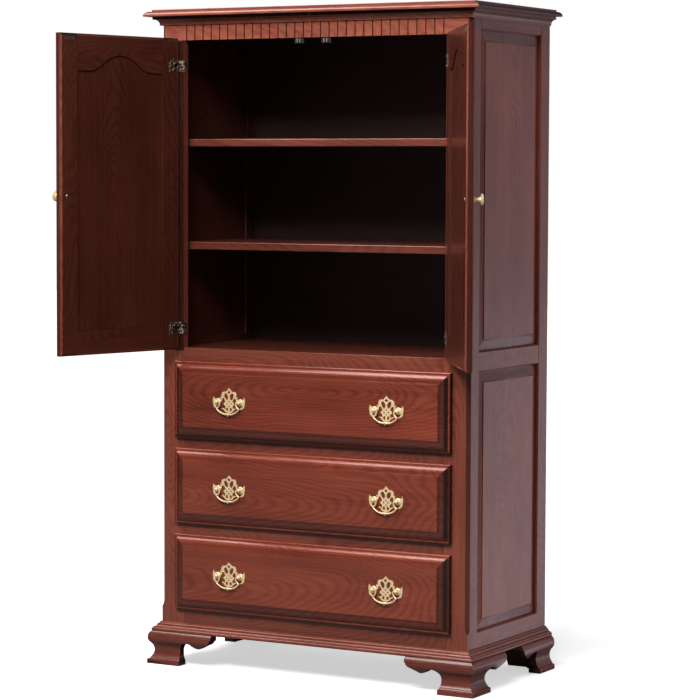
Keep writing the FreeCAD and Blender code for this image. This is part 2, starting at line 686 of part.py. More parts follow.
def door_frame():
    """Grooved and moulded stiles, then rails, of the right door."""
    blank = door_blank()
    cutters = [arch_prism(0, DOOR_FACE - 1, DOOR_BACK + 1),
               arch_prism(-GROOVE_DEPTH, DOOR_GROOVE[0], DOOR_GROOVE[1]),
               arch_loft(0, DOOR_FACE + STICKING, -STICKING - 1, DOOR_FACE - 1)]
    cutters += [hinge_mortise(z) for z in HINGE_HEIGHTS]
    cutters.append(cylinder(SCREW_RADIUS + 0.3, Vector(KNOB_X, DOOR_BACK + 1, KNOB_Z),
                            FORWARD * (DOOR_THICKNESS + 2)))
    frame = blank.cut(cutters)
    x_free = DOOR_GAP + DOOR_STILE
    x_hinge = DOOR_GAP + DOOR_WIDTH - DOOR_STILE
    y0 = DOOR_FACE - 1
    y1 = DOOR_BACK + 1
    split = (DOOR_BOTTOM + DOOR_TOP) / 2
    stiles = [frame.common(box(DOOR_GAP - 1, x_free, y0, y1, DOOR_BOTTOM - 1, DOOR_TOP + 1)),
              frame.common(box(x_hinge, DOOR_GAP + DOOR_WIDTH + 1, y0, y1, DOOR_BOTTOM - 1, DOOR_TOP + 1))]
    rails = [frame.common(box(x_free, x_hinge, y0, y1, DOOR_BOTTOM - 1, split)),
             frame.common(box(x_free, x_hinge, y0, y1, split, DOOR_TOP + 1))]
    return group(stiles), group(rails)


def door_panel():
    """Arched panel: flat inside, raised and bevelled outside, tongued into the frame."""
    tongue = arch_prism(EXPANSION_GAP - GROOVE_DEPTH, DOOR_GROOVE[0], DOOR_GROOVE[1])
    back = arch_prism(0.5, DOOR_GROOVE[1], DOOR_PANEL_BACK)
    bevel = arch_loft(1.0, DOOR_GROOVE[0], BEVEL - 2, DOOR_GROOVE[0] - 5.5)
    field = arch_prism(BEVEL - 2, DOOR_PANEL_FACE, DOOR_GROOVE[0])
    return tongue.fuse([back, bevel, field]).removeSplitter()


def door_knob():
    """Turned brass knob on the free stile: rosette, waisted neck and flat head."""
    profile = [(SCREW_RADIUS, 0), (10, 0), (9.6, 2), (5.4, 5), (4.6, 11), (8.6, 19.5),
               (15.5, 22), (15.5, 25.4), (12.5, 27.4), (0, 28), (0, 12), (SCREW_RADIUS, 12)]
    face = Part.Face(outline(profile, Vector(KNOB_X, DOOR_FACE, KNOB_Z), X, FORWARD))
    return face.revolve(Vector(KNOB_X, DOOR_FACE, KNOB_Z), FORWARD, 360)


def knob_screw():
    """Machine screw through the stile, its head on the inner face."""
    base = Vector(KNOB_X, DOOR_BACK, KNOB_Z)
    profile = [(0, 0), (0, 2.4), (3, 2.1), (5.2, 0), (SCREW_RADIUS, 0),
               (SCREW_RADIUS, -DOOR_THICKNESS - 12), (0, -DOOR_THICKNESS - 12)]
    screw = Part.Face(outline(profile, base, X, Y)).revolve(base, Y, 360)
    slot = box(KNOB_X - 6, KNOB_X + 6, DOOR_BACK + 1.3, DOOR_BACK + 3, KNOB_Z - 0.5, KNOB_Z + 0.5)
    return screw.cut(slot)


def strike_plate():
    """Steel plate on the inner face that meets the catch's poles."""
    return box(*STRIKE_X, DOOR_BACK, DOOR_BACK + STRIKE_THICKNESS, *STRIKE_Z)


def hang_door(shape, side):
    """Turn a shut right-hand shape to its rest pose, mirrored first for the left door."""
    if side == "left":
        shape = mirrored(shape)
        shape.rotate(Vector(-HINGE_X, HINGE_Y, 0), Z, -LEFT_DOOR_OPEN)
    else:
        shape = shape.copy()
        shape.rotate(Vector(HINGE_X, HINGE_Y, 0), Z, RIGHT_DOOR_OPEN)
    return shape


# ==== Drawers ==================================================================================

def drawer_front(z0, z1):
    """Overlay front bored for its pulls: rounded lip, swelling slope, band and raised field."""
    thickness = DRAWER_BACK - DRAWER_FACE
    edge = [(0, 0), (0, 8.5), (0.9, 11.1, 3.5, 12), (8.5, 12), (8.5, 12.8), (13.6, 17.6, 22, 20.6),
            (31, 21.2), (31, 22.2), (35, thickness)]
    board = moulded_board(edge, -DRAWER_HALF, DRAWER_HALF, z0, z1, DRAWER_BACK)
    return board.cut(bolt_holes((z0 + z1) / 2))


def bolt_holes(z):
    """Bores for the four pull bolts of a drawer."""
    bores = []
    for pull in (-PULL_X, PULL_X):
        for post in (-POST_X, POST_X):
            bores.append(cylinder(BOLT_RADIUS + 0.2, Vector(pull + post, DRAWER_FACE - 5, z), Y * 45))
    return bores


def dovetails(z0, z1, y_root, y_tip):
    """Row of tails on a box side, wider at the tip than at the root."""
    tails = []
    pitch = (z1 - z0) / TAILS
    for i in range(TAILS):
        z = z0 + pitch * (i + 0.5)
        points = [(y_root, z - TAIL_ROOT), (y_tip, z - TAIL_TIP),
                  (y_tip, z + TAIL_TIP), (y_root, z + TAIL_ROOT)]
        tails.append(prism(points, Vector(BOX_HALF - BOX_BOARD, 0, 0), Y, Z, X * BOX_BOARD))
    return tails


def drawer_box(z0, z1, rail_top):
    """Box dovetailed to its inner front, with a bottom panel in grooves under the back."""
    low = rail_top + BOX_LIFT
    high = low + BOX_HEIGHT
    inner = BOX_HALF - BOX_BOARD
    front_y = DRAWER_BACK + INNER_FRONT
    back_y = BOX_END - BOX_BOARD
    panel_z = low + BOX_PANEL_LIFT
    high_groove = panel_z + BOX_PANEL
    inside = inner + BOX_GROOVE
    tails = dovetails(low, high, front_y, front_y - TAIL_LENGTH)
    groove = box(-inside, inside, front_y - BOX_GROOVE, BOX_END, panel_z, high_groove)
    side = box(inner, BOX_HALF, front_y, BOX_END, low, high).fuse(tails).removeSplitter()
    side = side.cut(groove)
    front = box(-BOX_HALF, BOX_HALF, DRAWER_BACK, front_y, low, high)
    front = front.cut(both_sides(tails) + [groove] + bolt_holes((z0 + z1) / 2))
    back = box(-inner, inner, back_y, BOX_END, high_groove, high)
    return group([front, back, groove] + both_sides([side]))


# ==== Pulls ====================================================================================

def plate_half():
    """Right half of a pierced back plate, drawn about the middle of the pull.

    Foot, lower leaf, waist, arm with its post roundel and two horns, shoulder, lobe and finial.
    """
    return [
        (0, -30.8), (8, -29.8), (12.6, -27.2), (17, -22.4, 25.8, -18.4), (17.4, -17.8, 13, -20.6),
        (12.6, -16.5), (11.6, -12), (19, -5.2), (11.6, 1.8), (14.2, 7.2), (17.6, 11.2), (21, 12.2),
        (23.2, 10.2), (24.2, 4.5), (27.8, 0.6), (30.8, -6.7, 38.1, -9.7), (42, -8.9, 45.4, -6.7),
        (44.2, -12.6, 38.2, -16.6), (37.4, -18.6), (48.6, -16.6, 53.2, -5), (54.6, 4, 51.8, 16.2),
        (50.2, 11), (46.6, 9.6), (45.4, 7.9), (42, 10.1, 38.1, 10.9), (32.6, 9.3, 29, 5.4),
        (28.4, 10.6), (30.8, 15.6), (24.4, 14.8), (25.4, 19), (23.6, 27, 15.6, 30.8), (10.6, 31),
        (4.8, 35.6), (0, 41.5),
    ]


def plate_openings():
    """Openings of the plate's right half; those on the middle line reach across it."""
    lattice = [(0, 2), (7, -4.8), (0, -11.4)]
    shapes = [[(x - 3, z), (x, z - 3), (x + 3, z), (x, z + 3)] for x, z in lattice]
    shapes.append([(-5.6, 28.6), (0, 22.9), (5.6, 28.6), (0, 34.2)])
    shapes.append([(5.6, 6.6), (2.6, 15.5, 7.2, 23.6), (11.8, 26, 15.8, 23), (14.6, 13.6, 8.4, 6)])
    shapes.append([(3.2, -15.8), (9.6, -17.5, 8.8, -25), (3, -26)])
    return shapes


def pull_plate():
    """Pierced brass back plate about the origin, its back at the drawer's face."""
    origin = Vector(0, DRAWER_FACE, 0)
    half = prism(plate_half(), origin, X, Z, FORWARD * PLATE_THICKNESS)
    cutters = [prism(points, origin + Y, X, Z, FORWARD * (PLATE_THICKNESS + 2))
               for points in plate_openings()]
    cutters.append(cylinder(BOLT_RADIUS + 0.2, Vector(POST_X, DRAWER_FACE + 1, 0), FORWARD * 4))
    half = half.cut(cutters)
    return half.fuse(mirrored(half)).removeSplitter()


def pull_post():
    """Ball-headed post with its bolt, bored across for the bail, at the right boring."""
    seat = DRAWER_FACE - PLATE_THICKNESS
    base = Vector(POST_X, seat, 0)
    reach = seat - BAIL_Y
    neck = math.sqrt(POST_BALL ** 2 - 3.2 ** 2)
    rim = POST_ROSETTE
    tail = -(PLATE_THICKNESS + DRAWER_BACK - DRAWER_FACE + INNER_FRONT + 5)
    profile = [(0, tail), (BOLT_RADIUS, tail), (BOLT_RADIUS, 0), (rim, 0), (rim, 0.5),
               (rim - 1.2, 1.5), (3.6, 1.6), (3.2, reach - neck),
               (POST_BALL, reach, 0, reach + POST_BALL)]
    post = Part.Face(outline(profile, base, X, FORWARD)).revolve(base, FORWARD, 360)
    bore = cylinder(POST_BORE, Vector(POST_X + 2.6, BAIL_Y, 0), X * -12)
    return post.cut(bore)


def pull_nut():
    """Hexagon nut on the bolt, inside the drawer box."""
    seat = DRAWER_BACK + INNER_FRONT
    corners = [(4.6 * math.cos(math.radians(60 * i)), 4.6 * math.sin(math.radians(60 * i)))
               for i in range(6)]
    nut = prism(corners, Vector(POST_X, seat, 0), X, Z, Y * 3)
    return nut.cut(cylinder(BOLT_RADIUS, Vector(POST_X, seat - 1, 0), Y * 5))


def bail_line():
    """Points along the right half of the bail's centre line: neck, pointed elbow and bow."""
    neck = BAIL_NECK_X
    arcs = [((neck, 1.6), (neck - 1.4, -7.6), (neck + 2.6, -14.4)),
            ((neck + 2.6, -14.4), (neck + 5.2, -16.8), (POST_X, -18.4)),
            ((POST_X, -18.4), (21.8, -31.2), (0, -BAIL_DROP[0]))]
    points = []
    for arc, steps in zip(arcs, BAIL_STEPS):
        start, middle, end = [Vector(x, BAIL_Y, z) for x, z in arc]
        points += Part.Arc(start, middle, end).toShape().discretize(steps)[:-1]
    return points + [Vector(0, BAIL_Y, -BAIL_DROP[0])]


def bail_section(before, centre, after):
    """Octagon across the bail at a point of its line, larger towards the middle of the bow."""
    across = (after - before).normalize().cross(Y)
    radius = BAIL_RADIUS + BAIL_SWELL * max(0, 1 - abs(centre.x) / BAIL_NECK_X) ** 2
    corners = []
    for i in range(8):
        turn = math.pi / 8 + i * math.pi / 4
        corners.append((radius * math.cos(turn), radius * math.sin(turn)))
    return outline(corners, centre, across, Y)


def bail():
    """Swinging handle: a swan-necked bow with a small drop under it, and two pins."""
    half = bail_line()
    line = half + [Vector(-point.x, point.y, point.z) for point in reversed(half[:-1])]
    padded = line[:1] + line + line[-1:]
    sections = [bail_section(*padded[i:i + 3]) for i in range(len(line))]
    bow = Part.makeLoft(sections, True, True)
    low, tip = BAIL_DROP
    drop = Part.makeCone(BAIL_DROP_RADIUS, 0.7, tip - low, Vector(0, BAIL_Y, -low), Z * -1)
    pin = cylinder(BAIL_PIN, Vector(BAIL_NECK_X, BAIL_Y, 0), X * (POST_X - BAIL_NECK_X + 2))
    return bow.fuse([drop] + both_sides([pin]))


def at_pull(shape, pull_x, z):
    """Place a pull piece at its boring on a drawer."""
    moved = shape.copy()
    moved.translate(Vector(pull_x, 0, z))
    return moved


# ==== Assembly ===================================================================================

def carcass_nodes():
    """Everything that stands still."""
    nodes = {
        "right_face_stile": face_stile(),
        "left_face_stile": mirrored(face_stile()),
        "dentil_rail": dentil_rail(),
        "tv_rail": face_rail(TV_RAIL),
        "drawer_rails": group([face_rail(LOWER_DRAWER_RAIL), face_rail(UPPER_DRAWER_RAIL)]),
        "bottom_rail": face_rail(BOTTOM_RAIL),
        "right_side_frame": side_frame(),
        "left_side_frame": mirrored(side_frame()),
        "right_side_panels": side_panels(),
        "left_side_panels": mirrored(side_panels()),
        "top_board": top_board(),
        "crown_moulding": crown_moulding(),
        "base_moulding": base_moulding(),
        "front_right_foot": front_foot(),
        "front_left_foot": mirrored(front_foot()),
        "back_right_foot": back_foot(),
        "back_left_foot": mirrored(back_foot()),
        "foot_glue_blocks": glue_blocks(),
        "case_bottom": case_bottom(),
        "tv_floor": tv_floor(),
        "upper_back_panel": back_panel(BACK_JOINT, CASE_TOP),
        "lower_back_panel": back_panel(CASE_BOTTOM, BACK_JOINT),
        "upper_shelf": shelf(SHELF_TOPS[0]),
        "lower_shelf": shelf(SHELF_TOPS[1]),
        "shelf_pins": shelf_pins(),
        "drawer_runners": drawer_runners(),
        "magnetic_catches": magnetic_catches(),
        "hinge_arms": group(both_sides([hinge_arm(z) for z in HINGE_HEIGHTS])),
    }
    return nodes


def door_nodes():
    """The two doors, hung at their open rest pose."""
    stiles, rails = door_frame()
    pieces = {
        "stiles": stiles,
        "rails": rails,
        "panel": door_panel(),
        "hinge_cups": group([hinge_cup(z) for z in HINGE_HEIGHTS]),
        "knob": door_knob(),
        "knob_screw": knob_screw(),
        "strike_plate": strike_plate(),
    }
    nodes = {}
    for side in ("left", "right"):
        for name, shape in pieces.items():
            nodes[side + "_door_" + name] = hang_door(shape, side)
    return nodes


def drawer_nodes():
    """The three drawers with their pulls."""
    plate = pull_plate()
    post = pull_post()
    nut = pull_nut()
    handle = bail()
    nodes = {}
    for name, (z0, z1, rail_top) in DRAWERS.items():
        z = (z0 + z1) / 2
        nodes[name + "_drawer_front"] = drawer_front(z0, z1)
        nodes[name + "_drawer_box"] = drawer_box(z0, z1, rail_top)
        plates = []
        posts = []
        for side, pull_x in (("left", -PULL_X), ("right", PULL_X)):
            plates.append(at_pull(plate, pull_x, z))
            posts += [at_pull(piece, pull_x, z) for piece in both_sides([post, nut])]
            nodes[name + "_drawer_" + side + "_bail"] = at_pull(handle, pull_x, z)
        nodes[name + "_drawer_pull_plates"] = group(plates)
        nodes[name + "_drawer_pull_posts"] = group(posts)
    return nodes


os.makedirs("parts", exist_ok=True)
for nodes in (carcass_nodes(), door_nodes(), drawer_nodes()):
    for name, shape in nodes.items():
        shape.translated(DATUM * -1).exportStep("parts/" + name + ".step")
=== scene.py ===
import math
from functools import partial

import bmesh
import bpy
import numpy as np
from mathutils import Matrix, Vector
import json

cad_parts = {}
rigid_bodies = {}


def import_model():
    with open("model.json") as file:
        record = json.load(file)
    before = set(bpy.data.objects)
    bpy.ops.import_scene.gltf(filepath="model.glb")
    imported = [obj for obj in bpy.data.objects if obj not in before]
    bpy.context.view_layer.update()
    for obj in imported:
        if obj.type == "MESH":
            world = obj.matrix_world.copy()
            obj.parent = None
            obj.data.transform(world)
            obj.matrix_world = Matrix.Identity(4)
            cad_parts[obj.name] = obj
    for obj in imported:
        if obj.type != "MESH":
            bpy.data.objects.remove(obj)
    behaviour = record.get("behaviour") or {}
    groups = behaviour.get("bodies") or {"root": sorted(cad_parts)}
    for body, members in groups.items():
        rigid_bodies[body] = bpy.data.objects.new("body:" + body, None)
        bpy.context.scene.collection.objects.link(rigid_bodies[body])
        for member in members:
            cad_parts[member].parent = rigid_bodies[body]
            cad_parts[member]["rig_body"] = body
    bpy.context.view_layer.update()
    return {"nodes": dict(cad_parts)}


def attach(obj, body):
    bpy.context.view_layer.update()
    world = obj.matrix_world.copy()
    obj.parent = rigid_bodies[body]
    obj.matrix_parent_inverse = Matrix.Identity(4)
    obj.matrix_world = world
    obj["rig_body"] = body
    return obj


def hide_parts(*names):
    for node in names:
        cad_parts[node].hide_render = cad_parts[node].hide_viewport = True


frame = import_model()

# ==== Camera =====================================================================================
# The view is fixed first: a long lens to the right of the front, a little above the middle.
# Its angles are taken from the case's own axes.

CAMERA_YAW, CAMERA_PITCH, CAMERA_ROLL = (math.radians(a) for a in (29.424, 3.79, 0.217))
CAMERA_PLACE = (3.8244, -6.6991, 1.460)
LENS_MM = 139.5
SENSOR_MM = 36
FARTHEST = 60                       # metres that the camera sees


def camera_matrix(place):
    """Columns right, up and back of a camera that looks yaw left of north and pitch down."""
    yaw, pitch, roll = CAMERA_YAW, CAMERA_PITCH, CAMERA_ROLL
    north_part = math.cos(yaw) * math.cos(pitch)
    ahead = Vector((-math.sin(yaw) * math.cos(pitch), north_part, -math.sin(pitch)))
    level = Vector((math.cos(yaw), math.sin(yaw), 0))
    rise = level.cross(ahead)
    right = level * math.cos(roll) + rise * math.sin(roll)
    up = rise * math.cos(roll) - level * math.sin(roll)
    matrix = Matrix((right, up, -ahead)).transposed().to_4x4()
    matrix.translation = place
    return matrix


lens = bpy.data.cameras.new("camera")
lens.lens = LENS_MM
lens.sensor_width = SENSOR_MM
lens.clip_end = FARTHEST
camera = bpy.data.objects.new("camera", lens)
camera.matrix_world = camera_matrix(CAMERA_PLACE)
bpy.context.scene.collection.objects.link(camera)
bpy.context.scene.camera = camera

# ==== Studio =====================================================================================
# A pale floor and a white surround. Lacquer and metal see the surround dim, but for one bright
# stretch behind to the right that gives the side its haze. The key lamp hangs high in front, and
# a second lamp overhead to the left draws the highlights on the upper slopes of the mouldings.

BRIGHT_WAY = (0.49, 0.87, 0.0)      # level direction of the bright stretch
BRIGHT_SPAN = (0.940, 0.985)        # cosines from that way where it begins and where it is full
HEIGHTS_COUNT_LESS = (1, 1, 0.35)   # so that the stretch stands tall
WHITE = (1, 1, 1, 1)
REFLECTED_TINT = (1.0, 0.88, 1.0, 1)
REFLECTED = (0.06, 0.46)            # strength in reflections, outside the stretch and in it
FILL_SPAN = (-0.45, 0.35)           # of the direction's north part, for the light on the object
FILL = (0.12, 0.40)                 # strength of that light, from the front and from behind
FLOOR_REACH = 20
FLOOR_DROP = 0.001                  # keeps the floor from lying in the feet's own plane
BOUNCE_SPAN = (-0.4, 0.6)           # north part of a place on the floor
BOUNCE = (0.12, 0.6)                # colour for bounced light, in front and behind
FLOOR_MIRRORED = 0.2
FLOOR_SEEN = 0.86
STRETCH_START = (0.45, 0.2, 0.0)    # foot of the case's side, where the floor's stretch starts
FLOOR_STRETCH = (0.0, 0.95)         # glow in reflections, outside the stretch and in it
GLOW_SPAN = (0.6, 4.0)              # metres from the middle
GLOW = (0.58, 1.0)                  # what the camera sees, so that the floor fades into white

scene = bpy.context.scene
scene.view_settings.view_transform = "Standard"


def wire(tree, kind, inputs=(), **settings):
    """A node of that kind with its settings, each input a value or another node's socket."""
    node = tree.nodes.new(kind)
    for key, value in settings.items():
        setattr(node, key, value)
    for key, value in dict(inputs).items():
        if isinstance(value, bpy.types.NodeSocket):
            tree.links.new(value, node.inputs[key])
        else:
            node.inputs[key].default_value = value
    return node


def spread(tree, value, low, high, to_low, to_high):
    """Value carried from one span to another, held at both ends."""
    return wire(tree, "ShaderNodeMapRange",
                {0: value, 1: low, 2: high, 3: to_low, 4: to_high}).outputs[0]


def maths(tree, operation, *values):
    """Result of an operation on numbers."""
    return wire(tree, "ShaderNodeMath", dict(enumerate(values)), operation=operation).outputs[0]


def vectors(tree, operation, *values):
    """Result of an operation on vectors, which is a number for a length or a dot product."""
    node = wire(tree, "ShaderNodeVectorMath", dict(enumerate(values)), operation=operation)
    return node.outputs["Value" if operation in ("LENGTH", "DOT_PRODUCT") else "Vector"]


def is_mirrored(tree, rays):
    """1 for a ray that a glossy or clear surface sent out, 0 for any other."""
    return maths(tree, "MAXIMUM", rays["Is Glossy Ray"], rays["Is Transmission Ray"])


def reflected_colour(tree, mirrored):
    """White, or the faint tint of what is mirrored."""
    return wire(tree, "ShaderNodeMix", {0: mirrored, 6: WHITE, 7: REFLECTED_TINT},
                data_type="RGBA").outputs[2]


def bright_share(tree, heading):
    """From 0 to 1: how far a direction looks into the bright stretch of the surround."""
    return spread(tree, vectors(tree, "DOT_PRODUCT", heading, BRIGHT_WAY), *BRIGHT_SPAN, 0.0, 1.0)


world = bpy.data.worlds.new("surround")
world.use_nodes = True
scene.world = world
sky = world.node_tree
sky.nodes.clear()
rays = wire(sky, "ShaderNodeLightPath").outputs
direction = wire(sky, "ShaderNodeTexCoord").outputs["Generated"]
north = wire(sky, "ShaderNodeSeparateXYZ", {0: direction}).outputs["Y"]
level = vectors(sky, "NORMALIZE", vectors(sky, "MULTIPLY", direction, HEIGHTS_COUNT_LESS))
mirrored = is_mirrored(sky, rays)
reflected = spread(sky, bright_share(sky, level), 0.0, 1.0, *REFLECTED)
fill = spread(sky, north, *FILL_SPAN, *FILL)
around = wire(sky, "ShaderNodeMix", {0: mirrored, 2: fill, 3: reflected}).outputs[0]
strength = maths(sky, "MAXIMUM", around, rays["Is Camera Ray"])
backdrop = wire(sky, "ShaderNodeBackground",
                {"Color": reflected_colour(sky, mirrored), "Strength": strength})
wire(sky, "ShaderNodeOutputWorld", {"Surface": backdrop.outputs[0]})


def soft_lamp(name, place, target, size, watts):
    """Rectangular soft lamp at a place, turned to a target."""
    data = bpy.data.lights.new(name, "AREA")
    data.shape = "RECTANGLE"
    data.size, data.size_y = size
    data.energy = watts
    lamp = bpy.data.objects.new(name, data)
    aim = Vector(target) - Vector(place)
    lamp.matrix_world = Matrix.LocRotScale(Vector(place), aim.to_track_quat("-Z", "Y"), None)
    scene.collection.objects.link(lamp)


soft_lamp("key_lamp", place=(0.8, -3.9, 4.2), target=(-0.07, 0.0, 0.9), size=(2.4, 1.4), watts=235)
soft_lamp("overhead_lamp", place=(-1.7, -1.6, 4.3), target=(0.0, -0.3, 0.7), size=(3.0, 2.2),
          watts=175)

mesh = bpy.data.meshes.new("floor")
mesh.from_pydata([(x * FLOOR_REACH, y * FLOOR_REACH, -FLOOR_DROP)
                  for x, y in ((-1, -1), (1, -1), (1, 1), (-1, 1))], [], [(0, 1, 2, 3)])
floor = bpy.data.objects.new("floor", mesh)
scene.collection.objects.link(floor)
pale = bpy.data.materials.new("pale_floor")
pale.use_nodes = True
ground = pale.node_tree
ground.nodes.clear()
rays = wire(ground, "ShaderNodeLightPath").outputs
place = wire(ground, "ShaderNodeTexCoord").outputs["Object"]
north = wire(ground, "ShaderNodeSeparateXYZ", {0: place}).outputs["Y"]
mirrored = is_mirrored(ground, rays)
bounce = spread(ground, north, *BOUNCE_SPAN, *BOUNCE)
unseen = wire(ground, "ShaderNodeMix", {0: mirrored, 2: bounce, 3: FLOOR_MIRRORED}).outputs[0]
tone = wire(ground, "ShaderNodeMix", {0: rays["Is Camera Ray"], 2: unseen, 3: FLOOR_SEEN}).outputs[0]
matt = wire(ground, "ShaderNodeBsdfDiffuse", {"Color": tone}).outputs[0]
heading = vectors(ground, "NORMALIZE", vectors(ground, "SUBTRACT", place, STRETCH_START))
stretch = spread(ground, bright_share(ground, heading), 0.0, 1.0, *FLOOR_STRETCH)
glow = maths(ground, "MULTIPLY_ADD", spread(ground, vectors(ground, "LENGTH", place), *GLOW_SPAN, *GLOW),
             rays["Is Camera Ray"], maths(ground, "MULTIPLY", mirrored, stretch))
white = wire(ground, "ShaderNodeEmission",
             {"Color": reflected_colour(ground, mirrored), "Strength": glow}).outputs[0]
laid = wire(ground, "ShaderNodeAddShader", {0: matt, 1: white})
wire(ground, "ShaderNodeOutputMaterial", {"Surface": laid.outputs[0]})
mesh.materials.append(pale)

# ==== Face frame =================================================================================
# Cherry stiles and rails, doweled and glued flush, their outer corners with a stopped chamfer.
# Every board is stained a reddish brown, rubbed, and finished with a satin lacquer.

TURN_LIMIT = math.radians(28)       # arrises sharper than this are eased
FLAT_LIMIT = math.radians(0.05)     # faces that turn less than this are one flat
SAME_CORNER = 2e-6
FACING = 0.9                        # cosine within which a face looks a given way


def read(collection, key, width=1, kind=np.float64):
    """All values of one key of a mesh's corners, edges or faces, in rows of that width."""
    values = np.empty(len(collection) * width, kind)
    collection.foreach_get(key, values)
    return values.reshape(-1, width) if width > 1 else values


def write_faces(mesh, name, kind, key, values):
    """A new attribute of the faces."""
    layer = mesh.attributes.new(name, kind, "FACE")
    layer.data.foreach_set(key, values.astype(np.float32).ravel())


def boards_of(mesh):
    """Number of the solid that each face and each face corner belongs to.

    Faces are joined across every edge that just two of them share, and the lowest number
    spreads until nothing changes; boards that only touch stay apart.
    """
    sides = read(mesh.polygons, "loop_total", 1, np.int32)
    edges = read(mesh.loops, "edge_index", 1, np.int32)
    face = np.repeat(np.arange(len(sides)), sides)
    order = np.argsort(edges, kind="stable")
    count = np.bincount(edges, minlength=len(mesh.edges))
    pairs = face[order][count[edges[order]] == 2].reshape(-1, 2)
    label = np.arange(len(sides))
    while True:
        least = label.copy()
        np.minimum.at(least, pairs[:, 0], label[pairs[:, 1]])
        np.minimum.at(least, pairs[:, 1], label[pairs[:, 0]])
        least = least[least]
        if (least == label).all():
            label = np.unique(label, return_inverse=True)[1]
            return label, label[face]
        label = least


def board_boxes(mesh, axes):
    """Board of every face, and each board's lowest and highest place along three axes."""
    corners = read(mesh.loops, "vertex_index", 1, np.int32)
    places = read(mesh.vertices, "co", 3)[corners] @ axes
    board, board_of_corner = boards_of(mesh)
    low = np.full((board.max() + 1, 3), np.inf)
    high = -low
    np.minimum.at(low, board_of_corner, places)
    np.maximum.at(high, board_of_corner, places)
    return board, low, high


def lay_grain(mesh, turn, seed):
    """Write on every face where its board's middle is and how the board lies.

    The board's axes are the sides of its box after turning back by turn about the upright axis,
    from the longest to the shortest. A number from 0 to 1 sets each board apart.
    """
    c, s = math.cos(turn), math.sin(turn)
    back = np.array([[c, -s, 0], [s, c, 0], [0, 0, 1]])
    board, low, high = board_boxes(mesh, back)
    order = np.argsort(low - high, axis=1)
    middle = (low + high) / 2 @ back.T
    tone = np.random.default_rng(seed).uniform(0, 1, len(low))
    for name, rows in (("board_middle", middle), ("board_along", back.T[order[:, 0]]),
                       ("board_across", back.T[order[:, 1]])):
        write_faces(mesh, name, "FLOAT_VECTOR", "vector", rows[board])
    write_faces(mesh, "board_tone", "FLOAT", "value", tone[board])


def eased(node, name, ease=0.0005, turn=0.0, whole_flats=True):
    """The solids of a CAD node with their doubles merged, flats made whole and arrises eased."""
    source = frame["nodes"][node]
    work = bmesh.new()
    work.from_mesh(source.data)
    bmesh.ops.remove_doubles(work, verts=work.verts, dist=SAME_CORNER)
    if whole_flats:
        bmesh.ops.dissolve_limit(work, angle_limit=FLAT_LIMIT, verts=work.verts, edges=work.edges)
    mesh = bpy.data.meshes.new(name)
    work.to_mesh(mesh)
    work.free()
    mesh.shade_smooth()
    mesh.set_sharp_from_angle(angle=TURN_LIMIT)
    lay_grain(mesh, turn, sum(name.encode()))
    piece = bpy.data.objects.new(name, mesh)
    scene.collection.objects.link(piece)
    edge = piece.modifiers.new("eased_arrises", "BEVEL")
    edge.width = ease
    edge.segments = 2
    edge.limit_method = "ANGLE"
    edge.angle_limit = TURN_LIMIT
    edge.use_clamp_overlap = True
    flats = piece.modifiers.new("flat_faces_stay_flat", "WEIGHTED_NORMAL")
    flats.keep_sharp = True
    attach(piece, source["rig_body"])
    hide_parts(node)
    return piece


RING_PITCH = 900.0                  # radians of growth per metre: a year in 7 mm
PITH_SHIFT = 0.08                   # a board's tone moves its pith across by up to half of this
PITH_WANDER = (-0.06, 0.06)
PITH_DEPTH = 0.062
PITH_SLOPE = 0.16
RING_SHARPNESS = 2.0
APART = (37.0, 11.0, 23.0)          # metres in the noise between boards whose tones are 0 and 1
STREAKS, CLOUDS, FINE_LINES, RINGS, BOARDS = 0.17, 0.26, 0.14, -0.08, 0.05     # in the figure
FIGURE_SPAN = (0.12, 0.39)          # of the figure, from the darkest to the lightest stain
PORE_SPAN, PORE_SHADE = (0.30, 0.62), (0.80, 1.05)
RUB_SPAN, RUB_SHADE = (0.50, 0.60), (1.0, 1.2)      # convex edges are rubbed paler
SOAK_SPAN, SOAK_SHADE = (0.04, 0.38), (1.0, 0.26)   # from flat grain to end grain
SMEAR_SPAN = (0.3, 0.7)             # of the noise that makes the roughness wander
SMEAR = (-0.04, 0.05)
PORE_RELIEF = 0.6
GRAIN_RELIEF = {"Strength": 0.08, "Distance": 0.0004}
LACQUER_IOR = 1.5
LACQUER_ROUGHNESS = 0.12


def place_in_tree(tree):
    """Place along, across and through the board, the same in the tree, the tone and the length."""
    along, across, middle = (wire(tree, "ShaderNodeAttribute", attribute_name="board_" + name)
                             .outputs["Vector"] for name in ("along", "across", "middle"))
    tone = wire(tree, "ShaderNodeAttribute", attribute_name="board_tone").outputs["Fac"]
    place = vectors(tree, "SUBTRACT", wire(tree, "ShaderNodeTexCoord").outputs["Object"], middle)
    through = vectors(tree, "CROSS_PRODUCT", along, across)
    at = [vectors(tree, "DOT_PRODUCT", place, axis) for axis in (along, across, through)]
    elsewhere = wire(tree, "ShaderNodeVectorMath", {0: APART, "Scale": tone},
                     operation="SCALE").outputs[0]
    grain = wire(tree, "ShaderNodeCombineXYZ", dict(enumerate(at))).outputs[0]
    return at, vectors(tree, "ADD", grain, elsewhere), tone, along


